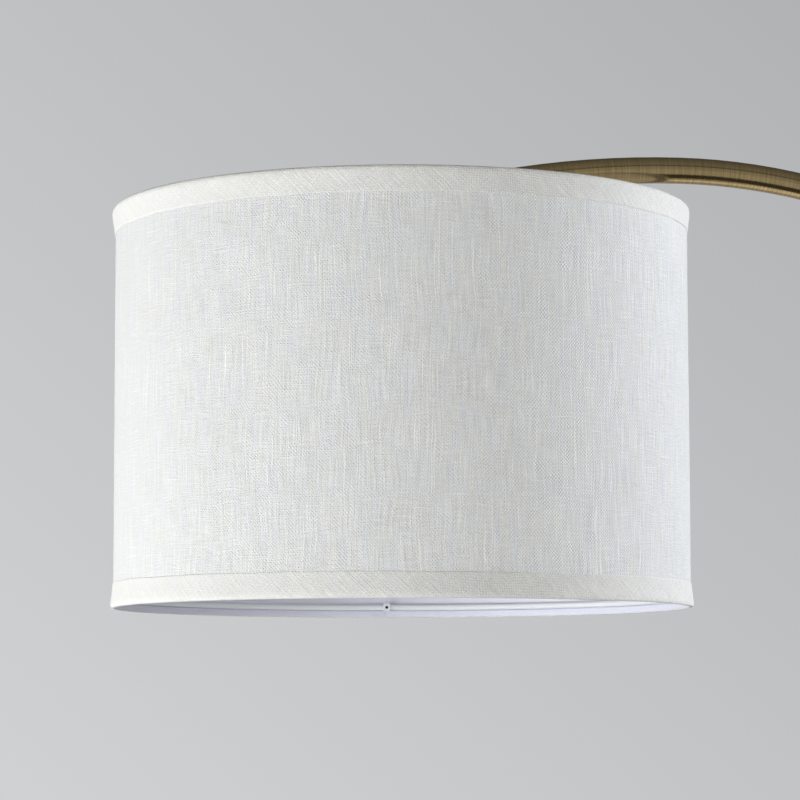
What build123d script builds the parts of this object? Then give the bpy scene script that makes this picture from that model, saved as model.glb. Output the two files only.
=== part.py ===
"""Arc floor lamp: a weighted round base, a screw-together brass tube that bends over in an arc, and a linen
drum shade that tilts on a swivel at the end of the arm. Millimetres, +Z up, origin on the floor under the
pole. The arm reaches towards -X."""

import os
from math import cos, radians, sin

from build123d import *

os.makedirs("parts", exist_ok=True)

# Overall sizes
OVERALL_HEIGHT = 1880.0  # floor to the top of the arc
ARC_RADIUS = 460.0  # tube centreline, from the pole up to the top of the arc
ARC_SPLIT = 45.0  # degrees of bend below the joint in the arc
ARM_RADIUS = 680.0  # tube centreline, from the top of the arc down to the shade
ARM_END_SLOPE = 14.2  # degrees below level at the end of the arm
RIM_BELOW_ARC_TOP = 37.2  # tube centreline at the top of the arc, down to the rim of the shade

# Tube and its screwed joints
TUBE_DIAMETER = 19.0
TUBE_WALL = 1.2
TUBE_EDGE = 0.4  # chamfer that shows as a fine line at each joint
STRAIGHT_END = 16.0  # unbent length at each end of a bent tube
POLE_SECTIONS = ("pole_lower", "pole_middle", "pole_upper")
INSERT_LENGTH = 13.0
INSERT_RECESS = 0.5  # below the end of the tube, so that the tube ends meet first
NIPPLE_DIAMETER = 9.8  # over the thread
NIPPLE_BORE = 7.2  # passage for the lead
NIPPLE_GRIP = 11.0  # length screwed into each insert
FIT = 0.05  # radial gap of pieces pressed, glued or screwed together
RUNNING_FIT = 0.06  # radial gap of a pin that turns

# Base
BASE_DIAMETER = 280.0
BASE_HEIGHT = 32.0  # floor to the flat land under the collar
BASE_SKIRT = 23.0  # floor to the corner of the skirt, before it is rounded
BASE_CORNER = 9.0
BASE_LAND = 26.0  # radius of the flat land
BASE_DOME_RISE = 1.6  # crown of the dome over a straight line from skirt to land
COVER_WALL = 1.2
COVER_OFF_FLOOR = 1.0
PAD_THICKNESS = 2.5
PAD_INSET = 9.0  # edge of the base to the edge of the pad
WEIGHT_INSET = 8.0  # edge of the base to the edge of the weight, past the inlet
WEIGHT_DROP = 3.0  # corner of the skirt down to the top of the weight at its edge
WEIGHT_CHAMFER = 2.0
WEIGHT_STEP = 2.5  # hub above the sloping top
HUB_INSET = 2.0  # edge of the land to the hub of the weight that bears under it
NUT_POCKET_CLEARANCE = 5.0  # around the washer
NUT_POCKET_DEPTH = 16.0
LEAD_GROOVE = 10.0  # width and height of the passage to the inlet
NUT_WALL = 2.6  # nipple to each flat
NUT_THICKNESS = 5.0
WASHER_WIDTH = 12.1  # nipple to the rim of the washer
WASHER_THICKNESS = 2.0
NIPPLE_SHOW = 3.0  # thread below the nut

# Collar on the base
COLLAR_HEIGHT = 24.0
COLLAR_FLARE = 8.5  # neck to the rim of the foot
COLLAR_FOOT_EDGE = 3.0
COLLAR_WALL = 3.0  # around the tube
COLLAR_SEAT = 7.0  # depth of solid collar under the pole
COLLAR_SWEEP = 26.0  # radius of the hollow curve from foot to neck

# Inlet for the lead, in the skirt at the back
INLET_HEIGHT = 9.0
INLET_WALL = 2.25  # bore to the neck in the cover
INLET_BORE = 3.7  # radius
INLET_FLANGE_RIM = 2.0  # beyond the hole
INLET_FLANGE_THICKNESS = 2.4
INLET_BARB_RIM = 0.7  # beyond the hole
INLET_BARB_LENGTH = 4.0

# Swivel at the end of the arm
KNUCKLE_REACH = 22.0  # end of the tube to the pivot
KNUCKLE_COLLAR = 6.0  # length, as wide as the tube
KNUCKLE_WALL = 5.0  # around the bolt, to the rounded ends
TONGUE_THICKNESS = 6.0
FRICTION_WASHER = 0.8
FRICTION_WASHER_WIDTH = 3.5  # bolt to rim
SIDE_GAP = 0.1  # each side of each friction washer
CHEEK_THICKNESS = 3.2
FORK_CLEARANCE = 2.5  # end of the tongue to the bottom of the slot
FORK_HUB_RIM = 3.0  # beyond the cheeks
FORK_HUB_HEIGHT = 11.0
FORK_HUB_CHAMFER = 1.2
FORK_BORE_DEPTH = 8.0
LEAD_HOLE = 1.9  # radius of the two holes beside the tongue
LEAD_HOLE_WALL = 0.7  # tongue to hole
PIVOT_RADIUS = 3.0
BOLT_HEAD_RIM = 2.2  # beyond the bolt
BOLT_HEAD_HEIGHT = 3.4
THUMB_NUT_RIM = 5.0  # beyond the bolt
THUMB_NUT_HEIGHT = 8.0
THUMB_NUT_FLUTES = 16
THUMB_NUT_FLUTE = 0.9  # radius

# Lamp holder
CAP_HEIGHT = 20.0
CAP_SHOULDER = 7.0  # radius of the rounding
CAP_WALL = 1.0
CAP_NUT_THICKNESS = 4.0
CAP_NIPPLE_SHOW = 2.0  # thread below the nut
HOLDER_WAIST = 1.4  # thread to the waist that carries the switch
HOLDER_HEIGHT = 52.0
HOLDER_FLANGE_RIM = 2.6  # beyond the thread
HOLDER_FLANGE_DROP = 15.5  # top of the holder to the face that the shade bears on
HOLDER_FLANGE_THICKNESS = 2.0
HOLDER_WALL = 4.2  # cavity to the thread that takes the shade ring
HOLDER_CAVITY_CLEARANCE = 1.2  # around the screw shell
HOLDER_CAVITY_DEPTH = 31.0
SCREW_SHELL_BORE = 13.4  # radius, for a 26 mm screw cap
SCREW_SHELL_WALL = 0.6
SCREW_SHELL_LENGTH = 24.0
CONTACT_RADIUS = 4.0
CONTACT_HEIGHT = 2.6
SWITCH_DROP = 7.0  # top of the holder to the switch stem
SWITCH_STEM = 2.2  # radius
SWITCH_STEM_LENGTH = 23.0
SWITCH_STEM_DEPTH = 8.0  # inside the holder
SWITCH_KNOB = 5.0  # radius
SWITCH_KNOB_LENGTH = 13.0
SWITCH_KNOB_SOCKET = 4.0  # length that grips the stem
SWITCH_KNOB_WEB = 3.4  # thickness of the finger grip
SHADE_RING_WIDTH = 5.6  # thread to rim
SHADE_RING_HEIGHT = 9.0
SHADE_RING_NOTCHES = 12
SHADE_RING_NOTCH = 2.2  # radius

# Bulb
BULB_CAP_CLEARANCE = 0.4  # in the screw shell
BULB_CAP_LENGTH = 25.0
BULB_CAP_TIP = 4.6  # radius of the end contact
BULB_RADIUS = 30.0
BULB_LENGTH = 84.0  # cap to the end of the glass
BULB_NECK_STEP = 0.6  # cap to the neck of the glass
BULB_WALL = 1.0

# Shade
SHADE_DIAMETER = 403.0  # over the linen
SHADE_HEIGHT = 279.0  # over the trims
LINEN_THICKNESS = 0.8
LINING_THICKNESS = 0.7
TRIM_WIDTH = 17.0
TRIM_THICKNESS = 1.5
TRIM_BULGE = 0.25
TRIM_TURN_IN = 5.5  # height of the trim inside the shade
TRIM_TURN_IN_THICKNESS = 0.9
RING_WIRE = 2.2  # radius
SPOKES = 3
SPOKE_WIRE = 2.0  # radius
FITTER_CLEARANCE = 1.0  # around the thread of the holder
FITTER_WIDTH = 8.6  # hole to rim
FITTER_THICKNESS = 1.5
CLIP_WIDTH = 5.4
CLIP_HEIGHT = 5.8
CLIP_WALL = 1.0
CLIP_HOLE = 1.1  # radius
CLIP_BEARING = 83.4  # degrees from +X about the axis of the shade

# Derived places
TUBE_RADIUS = TUBE_DIAMETER / 2
TUBE_BORE = TUBE_RADIUS - TUBE_WALL
NIPPLE_RADIUS = NIPPLE_DIAMETER / 2
TAPPED = NIPPLE_RADIUS + FIT
BASE_RADIUS = BASE_DIAMETER / 2
NUT_ACROSS_FLATS = NIPPLE_DIAMETER + 2 * NUT_WALL
split_angle = radians(ARC_SPLIT)
end_slope = radians(ARM_END_SLOPE)
arc_top_x = -(ARC_RADIUS + 2 * STRAIGHT_END * sin(split_angle))
arc_top_z = OVERALL_HEIGHT - TUBE_RADIUS
bend_z = arc_top_z - ARC_RADIUS - 2 * STRAIGHT_END * cos(split_angle)
pole_top = bend_z - STRAIGHT_END
pole_foot = BASE_HEIGHT + COLLAR_SEAT
section_length = (pole_top - pole_foot) / len(POLE_SECTIONS)
rim_z = arc_top_z - RIM_BELOW_ARC_TOP

# Points and directions along the arm, from the joint in the arc to the pivot of the swivel
split_direction = Vector(-sin(split_angle), 0, cos(split_angle))
split_point = Vector(-ARC_RADIUS * (1 - cos(split_angle)), 0, bend_z + ARC_RADIUS * sin(split_angle))
split_point += split_direction * STRAIGHT_END
arm_direction = Vector(-cos(end_slope), 0, -sin(end_slope))
arm_end = Vector(arc_top_x - ARM_RADIUS * sin(end_slope), 0, arc_top_z - ARM_RADIUS * (1 - cos(end_slope)))
arm_end += arm_direction * STRAIGHT_END
pivot = arm_end + arm_direction * KNUCKLE_REACH

# Radii of the base and its inlet
weight_radius = BASE_RADIUS - WEIGHT_INSET
weight_edge = BASE_SKIRT - WEIGHT_DROP
weight_hub = BASE_LAND - HUB_INSET
washer_radius = NIPPLE_RADIUS + WASHER_WIDTH
nut_pocket = washer_radius + NUT_POCKET_CLEARANCE
collar_neck = TUBE_RADIUS + COLLAR_WALL
collar_foot = collar_neck + COLLAR_FLARE
inlet_hole = INLET_BORE + INLET_WALL + FIT
inlet_flange = inlet_hole + INLET_FLANGE_RIM
inlet_barb = inlet_hole + INLET_BARB_RIM

# Radii of the swivel and the lamp holder
knuckle_eye = PIVOT_RADIUS + KNUCKLE_WALL
fork_floor = knuckle_eye + FORK_CLEARANCE
fork_hub = knuckle_eye + FORK_HUB_RIM
lead_hole_offset = TONGUE_THICKNESS / 2 + LEAD_HOLE_WALL + LEAD_HOLE
thumb_nut = PIVOT_RADIUS + THUMB_NUT_RIM
holder_cavity = SCREW_SHELL_BORE + SCREW_SHELL_WALL + HOLDER_CAVITY_CLEARANCE
holder_thread = holder_cavity + HOLDER_WALL
holder_radius = holder_thread - HOLDER_WAIST
shade_ring_radius = holder_thread + SHADE_RING_WIDTH
fitter_hole = holder_thread + FITTER_CLEARANCE
fitter_radius = fitter_hole + FITTER_WIDTH
bulb_cap_radius = SCREW_SHELL_BORE - BULB_CAP_CLEARANCE
bulb_neck = bulb_cap_radius - BULB_NECK_STEP

# Heights down the axis of the shade
hub_bottom = pivot.Z - fork_floor - FORK_HUB_HEIGHT
holder_top = hub_bottom - CAP_HEIGHT
fitter_top = holder_top - HOLDER_FLANGE_DROP
fitter_bottom = fitter_top - FITTER_THICKNESS
cavity_roof = holder_top - HOLDER_HEIGHT + HOLDER_CAVITY_DEPTH
bulb_seat = cavity_roof - CONTACT_HEIGHT - FIT
switch_z = holder_top - SWITCH_DROP
shade_bottom = rim_z - SHADE_HEIGHT

# Radii of the shade, from the outside in
linen_outer = SHADE_DIAMETER / 2
linen_inner = linen_outer - LINEN_THICKNESS
lining_outer = linen_inner - FIT
lining_inner = lining_outer - LINING_THICKNESS
ring_radius = lining_inner - FIT - RING_WIRE
turn_in_outer = lining_inner - FIT
turn_in_inner = turn_in_outer - TRIM_TURN_IN_THICKNESS
trim_outer = linen_outer + TRIM_THICKNESS
ring_inset = TRIM_TURN_IN + RING_WIRE + FIT  # rim to the middle of the wire ring


def shade_plane(height):
    """Level plane on the axis of the shade."""
    return Plane(origin=(pivot.X, 0, height))


def shade_section():
    """Upright plane through the axis of the shade, for profiles to revolve."""
    return Plane(origin=(pivot.X, 0, 0), x_dir=(1, 0, 0), z_dir=(0, -1, 0))


def shade_axis():
    return Axis((pivot.X, 0, 0), (0, 0, 1))


def save(piece, name):
    """Labels a finished piece and writes its file."""
    piece.label = name
    export_step(piece, f"parts/{name}.step")


# Base, from the floor up

with BuildPart() as base_pad:
    with BuildSketch():
        Circle(BASE_RADIUS - PAD_INSET)
    extrude(amount=PAD_THICKNESS)
save(base_pad.part, "base_pad")

with BuildPart() as base_cover:
    with BuildSketch(Plane.XZ) as cover_profile:
        with BuildLine():
            skirt = Line((BASE_RADIUS, COVER_OFF_FLOOR), (BASE_RADIUS, BASE_SKIRT))
            dome = SagittaArc(skirt @ 1, (BASE_LAND, BASE_HEIGHT), -BASE_DOME_RISE)
            Polyline(dome @ 1, (0, BASE_HEIGHT), (0, COVER_OFF_FLOOR), skirt @ 0)
        make_face()
        fillet(cover_profile.vertices().group_by(Axis.X)[-1].sort_by(Axis.Y)[-1], radius=BASE_CORNER)
    revolve(axis=Axis.Z)
    offset(amount=-COVER_WALL, openings=base_cover.faces().sort_by(Axis.Z)[0])
    with BuildSketch(Plane.XY.offset(BASE_HEIGHT)):
        Circle(TAPPED)
    extrude(amount=-2 * COVER_WALL, mode=Mode.SUBTRACT)
    with BuildSketch(Plane.YZ.offset(BASE_RADIUS)):
        with Locations((0, INLET_HEIGHT)):
            Circle(inlet_hole)
    extrude(amount=-BASE_CORNER, mode=Mode.SUBTRACT)
save(base_cover.part, "base_cover")

# The cast weight bears on the inside of the cover with its hub, and its underside has the pocket for the nut
# and the groove for the lead.
cover_inside = BASE_HEIGHT - COVER_WALL
pocket_roof = PAD_THICKNESS + NUT_POCKET_DEPTH
with BuildPart() as base_weight:
    with BuildSketch(Plane.XZ):
        with BuildLine():
            Polyline(
                (nut_pocket, PAD_THICKNESS),
                (weight_radius, PAD_THICKNESS),
                (weight_radius, weight_edge - WEIGHT_CHAMFER),
                (weight_radius - WEIGHT_CHAMFER, weight_edge),
                (weight_hub, cover_inside - WEIGHT_STEP),
                (weight_hub, cover_inside),
                (TAPPED, cover_inside),
                (TAPPED, pocket_roof),
                (nut_pocket, pocket_roof),
                close=True,
            )
        make_face()
    revolve(axis=Axis.Z)
    with BuildSketch(Plane.XY.offset(PAD_THICKNESS)):
        with Locations((nut_pocket - FIT, 0)):
            Rectangle(weight_radius, LEAD_GROOVE, align=(Align.MIN, Align.CENTER))
    extrude(amount=LEAD_GROOVE, mode=Mode.SUBTRACT)
save(base_weight.part, "base_weight")

with BuildPart() as base_washer:
    with BuildSketch(Plane.XY.offset(pocket_roof - WASHER_THICKNESS)):
        Circle(washer_radius)
        Circle(TAPPED, mode=Mode.SUBTRACT)
    extrude(amount=WASHER_THICKNESS)
save(base_washer.part, "base_washer")

base_nut_bottom = pocket_roof - WASHER_THICKNESS - NUT_THICKNESS
with BuildPart() as base_nut:
    with BuildSketch(Plane.XY.offset(base_nut_bottom)):
        RegularPolygon(NUT_ACROSS_FLATS / 2, side_count=6, major_radius=False)
        Circle(TAPPED, mode=Mode.SUBTRACT)
    extrude(amount=NUT_THICKNESS)
save(base_nut.part, "base_nut")

base_nipple_foot = base_nut_bottom - NIPPLE_SHOW
with BuildPart() as base_nipple:
    with BuildSketch(Plane.XY.offset(base_nipple_foot)):
        Circle(NIPPLE_RADIUS)
        Circle(NIPPLE_BORE / 2, mode=Mode.SUBTRACT)
    extrude(amount=pole_foot + INSERT_RECESS + NIPPLE_GRIP - base_nipple_foot)
save(base_nipple.part, "base_nipple")

collar_top = BASE_HEIGHT + COLLAR_HEIGHT
with BuildPart() as pole_collar:
    with BuildSketch(Plane.XZ):
        with BuildLine():
            foot = Polyline(
                (TAPPED, BASE_HEIGHT),
                (collar_foot, BASE_HEIGHT),
                (collar_foot, BASE_HEIGHT + COLLAR_FOOT_EDGE),
            )
            sweep_in = RadiusArc(foot @ 1, (collar_neck, collar_top - COLLAR_FOOT_EDGE), COLLAR_SWEEP)
            Polyline(
                sweep_in @ 1,
                (collar_neck, collar_top),
                (TUBE_RADIUS + FIT, collar_top),
                (TUBE_RADIUS + FIT, pole_foot),
                (TAPPED, pole_foot),
                foot @ 0,
            )
        make_face()
    revolve(axis=Axis.Z)
save(pole_collar.part, "pole_collar")

# The bushing snaps into the skirt from outside, with a flange in front of the wall and a barb behind it.
wall_inside = BASE_RADIUS - COVER_WALL
barb_face = wall_inside - 4 * FIT
flange_face = BASE_RADIUS + INLET_FLANGE_THICKNESS
flange_bevel = INLET_FLANGE_THICKNESS / 2
with BuildPart() as cord_bushing:
    with BuildSketch(Plane(origin=(0, 0, INLET_HEIGHT), x_dir=(1, 0, 0), z_dir=(0, -1, 0))):
        with BuildLine():
            Polyline(
                (flange_face, INLET_BORE),
                (flange_face, inlet_flange - flange_bevel),
                (flange_face - flange_bevel, inlet_flange),
                (BASE_RADIUS, inlet_flange),
                (BASE_RADIUS, inlet_hole - FIT),
                (barb_face, inlet_hole - FIT),
                (barb_face, inlet_barb),
                (barb_face - INLET_BARB_LENGTH, inlet_hole - FIT),
                (barb_face - INLET_BARB_LENGTH, INLET_BORE),
                close=True,
            )
        make_face()
    revolve(axis=Axis((0, 0, INLET_HEIGHT), (1, 0, 0)))
save(cord_bushing.part, "cord_bushing")

# Tube, from the base to the end of the arm

for number, name in enumerate(POLE_SECTIONS):
    with BuildPart() as section:
        with BuildSketch(Plane.XY.offset(pole_foot + number * section_length)):
            Circle(TUBE_RADIUS)
            Circle(TUBE_BORE, mode=Mode.SUBTRACT)
        extrude(amount=section_length)
        chamfer(section.faces().filter_by(GeomType.PLANE).edges().group_by(SortBy.RADIUS)[-1], TUBE_EDGE)
    save(section.part, name)

with BuildPart() as arc_lower:
    with BuildLine(Plane.XZ) as lower_path:
        rise = Line((0, pole_top), (0, bend_z))
        bend = JernArc(rise @ 1, rise % 1, ARC_RADIUS, ARC_SPLIT)
        Line(bend @ 1, bend @ 1 + split_direction * STRAIGHT_END)
    with BuildSketch(Plane(origin=rise @ 0, z_dir=rise % 0)):
        Circle(TUBE_RADIUS)
        Circle(TUBE_BORE, mode=Mode.SUBTRACT)
    sweep(path=lower_path.wires()[0])
    chamfer(arc_lower.faces().filter_by(GeomType.PLANE).edges().group_by(SortBy.RADIUS)[-1], TUBE_EDGE)
save(arc_lower.part, "arc_lower")

with BuildPart() as arc_upper:
    with BuildLine(Plane.XZ) as upper_path:
        rise = Line(split_point, split_point + split_direction * STRAIGHT_END)
        bend = JernArc(rise @ 1, rise % 1, ARC_RADIUS, 90 - ARC_SPLIT)
        droop = JernArc(bend @ 1, bend % 1, ARM_RADIUS, ARM_END_SLOPE)
        Line(droop @ 1, arm_end)
    with BuildSketch(Plane(origin=rise @ 0, z_dir=rise % 0)):
        Circle(TUBE_RADIUS)
        Circle(TUBE_BORE, mode=Mode.SUBTRACT)
    sweep(path=upper_path.wires()[0])
    chamfer(arc_upper.faces().filter_by(GeomType.PLANE).edges().group_by(SortBy.RADIUS)[-1], TUBE_EDGE)
save(arc_upper.part, "arc_upper")

# Each joint: where it is, and the direction up the tube
section_ends = [pole_foot + number * section_length for number in range(1, len(POLE_SECTIONS) + 1)]
tube_joints = [(Vector(0, 0, height), Vector(0, 0, 1)) for height in section_ends]
tube_joints.append((split_point, split_direction))
insert_seats = [Plane(origin=(0, 0, pole_foot + INSERT_RECESS), z_dir=(0, 0, 1))]
for joint, upward in tube_joints:
    insert_seats.append(Plane(origin=joint + upward * INSERT_RECESS, z_dir=upward))
    insert_seats.append(Plane(origin=joint - upward * INSERT_RECESS, z_dir=-upward))

with BuildPart() as tube_inserts:
    for seat in insert_seats:
        with BuildSketch(seat):
            Circle(TUBE_BORE - FIT)
            Circle(TAPPED, mode=Mode.SUBTRACT)
        extrude(amount=INSERT_LENGTH)
save(tube_inserts.part, "tube_inserts")

with BuildPart() as joint_nipples:
    for joint, upward in tube_joints:
        with BuildSketch(Plane(origin=joint, z_dir=upward)):
            Circle(NIPPLE_RADIUS)
            Circle(NIPPLE_BORE / 2, mode=Mode.SUBTRACT)
        extrude(amount=INSERT_RECESS + NIPPLE_GRIP, both=True)
save(joint_nipples.part, "joint_nipples")

# Swivel: a tongue on the arm, a fork on the lamp holder, and a bolt through both with a friction washer on
# each side of the tongue
half_tongue = TONGUE_THICKNESS / 2
half_slot = half_tongue + FRICTION_WASHER + 2 * SIDE_GAP
half_fork = half_slot + CHEEK_THICKNESS
tongue_plane = Plane(origin=pivot, x_dir=-arm_direction, z_dir=(0, -1, 0))
fork_plane = Plane(origin=pivot, x_dir=(1, 0, 0), z_dir=(0, -1, 0))

with BuildPart() as swivel_tongue:
    with BuildSketch(tongue_plane):
        Circle(knuckle_eye)
        Rectangle(KNUCKLE_REACH - KNUCKLE_COLLAR, 2 * knuckle_eye, align=(Align.MIN, Align.CENTER))
        Circle(PIVOT_RADIUS + RUNNING_FIT, mode=Mode.SUBTRACT)
    extrude(amount=half_tongue, both=True)
    with BuildSketch(Plane(origin=arm_end, z_dir=arm_direction)):
        Circle(TUBE_RADIUS)
    extrude(amount=KNUCKLE_COLLAR)
    chamfer(swivel_tongue.edges().filter_by(GeomType.CIRCLE).group_by(SortBy.RADIUS)[-1], TUBE_EDGE)
    with BuildSketch(Plane(origin=arm_end, z_dir=-arm_direction)):
        Circle(TUBE_BORE - FIT)
    extrude(amount=INSERT_LENGTH)
    with BuildSketch(Plane(origin=arm_end, x_dir=(0, 1, 0), z_dir=arm_direction)):
        with Locations((lead_hole_offset, 0), (-lead_hole_offset, 0)):
            Circle(LEAD_HOLE)
    extrude(amount=INSERT_LENGTH, both=True, mode=Mode.SUBTRACT)
save(swivel_tongue.part, "swivel_tongue")

with BuildPart() as swivel_fork:
    with BuildSketch(fork_plane):
        Circle(knuckle_eye)
        Rectangle(2 * knuckle_eye, fork_floor, align=(Align.CENTER, Align.MAX))
    extrude(amount=half_fork, both=True)
    with BuildSketch(shade_plane(hub_bottom)):
        Circle(fork_hub)
    extrude(amount=FORK_HUB_HEIGHT)
    chamfer(swivel_fork.faces().sort_by(Axis.Z)[0].edges(), FORK_HUB_CHAMFER)
    with BuildSketch(shade_plane(pivot.Z - fork_floor)):
        Rectangle(4 * fork_hub, 2 * half_slot)
    extrude(amount=2 * fork_floor, mode=Mode.SUBTRACT)
    with BuildSketch(fork_plane):
        Circle(PIVOT_RADIUS + FIT)
    extrude(amount=half_fork, both=True, mode=Mode.SUBTRACT)
    with BuildSketch(shade_plane(hub_bottom)):
        Circle(TAPPED)
    extrude(amount=FORK_BORE_DEPTH, mode=Mode.SUBTRACT)
    with BuildSketch(shade_plane(hub_bottom)):
        Circle(NIPPLE_BORE / 2)
    extrude(amount=FORK_HUB_HEIGHT, mode=Mode.SUBTRACT)
save(swivel_fork.part, "swivel_fork")

with BuildPart() as friction_washers:
    for side in (1, -1):
        with BuildSketch(fork_plane.offset(side * (half_tongue + SIDE_GAP))):
            Circle(PIVOT_RADIUS + FRICTION_WASHER_WIDTH)
            Circle(PIVOT_RADIUS + FIT, mode=Mode.SUBTRACT)
        extrude(amount=side * FRICTION_WASHER)
save(friction_washers.part, "friction_washers")

# The bolt's head is at the front and its nut at the back.
with BuildPart() as swivel_bolt:
    with BuildSketch(fork_plane.offset(half_fork)):
        Circle(PIVOT_RADIUS + BOLT_HEAD_RIM)
    extrude(amount=BOLT_HEAD_HEIGHT)
    fillet(swivel_bolt.faces().sort_by(Axis.Y)[0].edges(), BOLT_HEAD_HEIGHT / 2)
    with BuildSketch(fork_plane.offset(half_fork)):
        Circle(PIVOT_RADIUS)
    extrude(amount=-(2 * half_fork + THUMB_NUT_HEIGHT - FIT))
save(swivel_bolt.part, "swivel_bolt")

with BuildPart() as swivel_nut:
    with BuildSketch(fork_plane.offset(-half_fork)):
        Circle(thumb_nut)
        with PolarLocations(thumb_nut, THUMB_NUT_FLUTES):
            Circle(THUMB_NUT_FLUTE, mode=Mode.SUBTRACT)
        Circle(PIVOT_RADIUS + FIT, mode=Mode.SUBTRACT)
    extrude(amount=-THUMB_NUT_HEIGHT)
save(swivel_nut.part, "swivel_nut")

# Lamp holder

with BuildPart() as socket_cap:
    with BuildSketch(shade_plane(holder_top)):
        Circle(holder_radius)
    extrude(amount=CAP_HEIGHT)
    fillet(socket_cap.faces().sort_by(Axis.Z)[-1].edges(), CAP_SHOULDER)
    offset(amount=-CAP_WALL, openings=socket_cap.faces().sort_by(Axis.Z)[0])
    with BuildSketch(shade_plane(hub_bottom)):
        Circle(TAPPED)
    extrude(amount=-2 * CAP_WALL, mode=Mode.SUBTRACT)
save(socket_cap.part, "socket_cap")

cap_nut_bottom = hub_bottom - CAP_WALL - CAP_NUT_THICKNESS
with BuildPart() as cap_nut:
    with BuildSketch(shade_plane(cap_nut_bottom)):
        RegularPolygon(NUT_ACROSS_FLATS / 2, side_count=6, major_radius=False)
        Circle(TAPPED, mode=Mode.SUBTRACT)
    extrude(amount=CAP_NUT_THICKNESS)
save(cap_nut.part, "cap_nut")

head_nipple_foot = cap_nut_bottom - CAP_NIPPLE_SHOW
with BuildPart() as head_nipple:
    with BuildSketch(shade_plane(head_nipple_foot)):
        Circle(NIPPLE_RADIUS)
        Circle(NIPPLE_BORE / 2, mode=Mode.SUBTRACT)
    extrude(amount=hub_bottom + FORK_BORE_DEPTH - FIT - head_nipple_foot)
save(head_nipple.part, "head_nipple")

stem_inner_end = holder_radius - SWITCH_STEM_DEPTH
stem_outer_end = stem_inner_end + SWITCH_STEM_LENGTH
switch_plane = Plane(origin=(pivot.X, 0, switch_z), x_dir=(1, 0, 0), z_dir=(0, -1, 0))

with BuildPart() as socket_body:
    with BuildSketch(shade_plane(holder_top)):
        Circle(holder_radius)
    extrude(amount=-HOLDER_FLANGE_DROP)
    with BuildSketch(shade_plane(fitter_top)):
        Circle(holder_thread + HOLDER_FLANGE_RIM)
    extrude(amount=HOLDER_FLANGE_THICKNESS)
    with BuildSketch(shade_plane(fitter_top)):
        Circle(holder_thread)
    extrude(amount=HOLDER_FLANGE_DROP - HOLDER_HEIGHT)
    with BuildSketch(shade_plane(cavity_roof)):
        Circle(holder_cavity)
    extrude(amount=-HOLDER_CAVITY_DEPTH, mode=Mode.SUBTRACT)
    with BuildSketch(switch_plane.offset(stem_inner_end - FIT)):
        Circle(SWITCH_STEM + RUNNING_FIT)
    extrude(amount=holder_radius, mode=Mode.SUBTRACT)
save(socket_body.part, "socket_body")

with BuildPart() as screw_shell:
    with BuildSketch(shade_plane(cavity_roof)):
        Circle(SCREW_SHELL_BORE + SCREW_SHELL_WALL)
        Circle(SCREW_SHELL_BORE, mode=Mode.SUBTRACT)
    extrude(amount=-SCREW_SHELL_LENGTH)
save(screw_shell.part, "screw_shell")

with BuildPart() as centre_contact:
    with BuildSketch(shade_plane(cavity_roof)):
        Circle(CONTACT_RADIUS)
    extrude(amount=-CONTACT_HEIGHT)
    fillet(centre_contact.faces().sort_by(Axis.Z)[0].edges(), CONTACT_HEIGHT / 2)
save(centre_contact.part, "centre_contact")

with BuildPart() as switch_stem:
    with BuildSketch(switch_plane.offset(stem_inner_end)):
        Circle(SWITCH_STEM)
    extrude(amount=SWITCH_STEM_LENGTH)
save(switch_stem.part, "switch_stem")

knob_root = stem_outer_end - SWITCH_KNOB_SOCKET
with BuildPart() as switch_knob:
    with BuildSketch(switch_plane.offset(knob_root)):
        Circle(SWITCH_KNOB)
    extrude(amount=SWITCH_KNOB_LENGTH)
    fillet(switch_knob.faces().sort_by(Axis.Y)[0].edges(), SWITCH_KNOB_WEB / 4)
    with BuildSketch(switch_plane.offset(stem_outer_end + FIT)):
        Circle(2 * SWITCH_KNOB)
        Rectangle(SWITCH_KNOB_WEB, 4 * SWITCH_KNOB, mode=Mode.SUBTRACT)
    extrude(amount=SWITCH_KNOB_LENGTH, mode=Mode.SUBTRACT)
    with BuildSketch(switch_plane.offset(knob_root)):
        Circle(SWITCH_STEM + FIT)
    extrude(amount=SWITCH_KNOB_SOCKET + FIT, mode=Mode.SUBTRACT)
save(switch_knob.part, "switch_knob")

with BuildPart() as shade_ring:
    with BuildSketch(shade_plane(fitter_bottom)):
        Circle(shade_ring_radius)
        with PolarLocations(shade_ring_radius, SHADE_RING_NOTCHES):
            Circle(SHADE_RING_NOTCH, mode=Mode.SUBTRACT)
        Circle(holder_thread + FIT, mode=Mode.SUBTRACT)
    extrude(amount=-SHADE_RING_HEIGHT)
save(shade_ring.part, "shade_ring")

# Bulb

bulb_neck_z = bulb_seat - BULB_CAP_LENGTH
with BuildPart() as bulb_cap:
    with BuildSketch(shade_section()):
        with BuildLine():
            Polyline(
                (0, bulb_seat),
                (BULB_CAP_TIP, bulb_seat),
                (BULB_CAP_TIP, bulb_seat - BULB_CAP_TIP / 2),
                (bulb_cap_radius - BULB_CAP_TIP / 2, bulb_seat - BULB_CAP_TIP),
                (bulb_cap_radius, bulb_seat - 2 * BULB_CAP_TIP),
                (bulb_cap_radius, bulb_neck_z),
                (0, bulb_neck_z),
                close=True,
            )
        make_face()
    revolve(axis=shade_axis())
save(bulb_cap.part, "bulb_cap")

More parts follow.
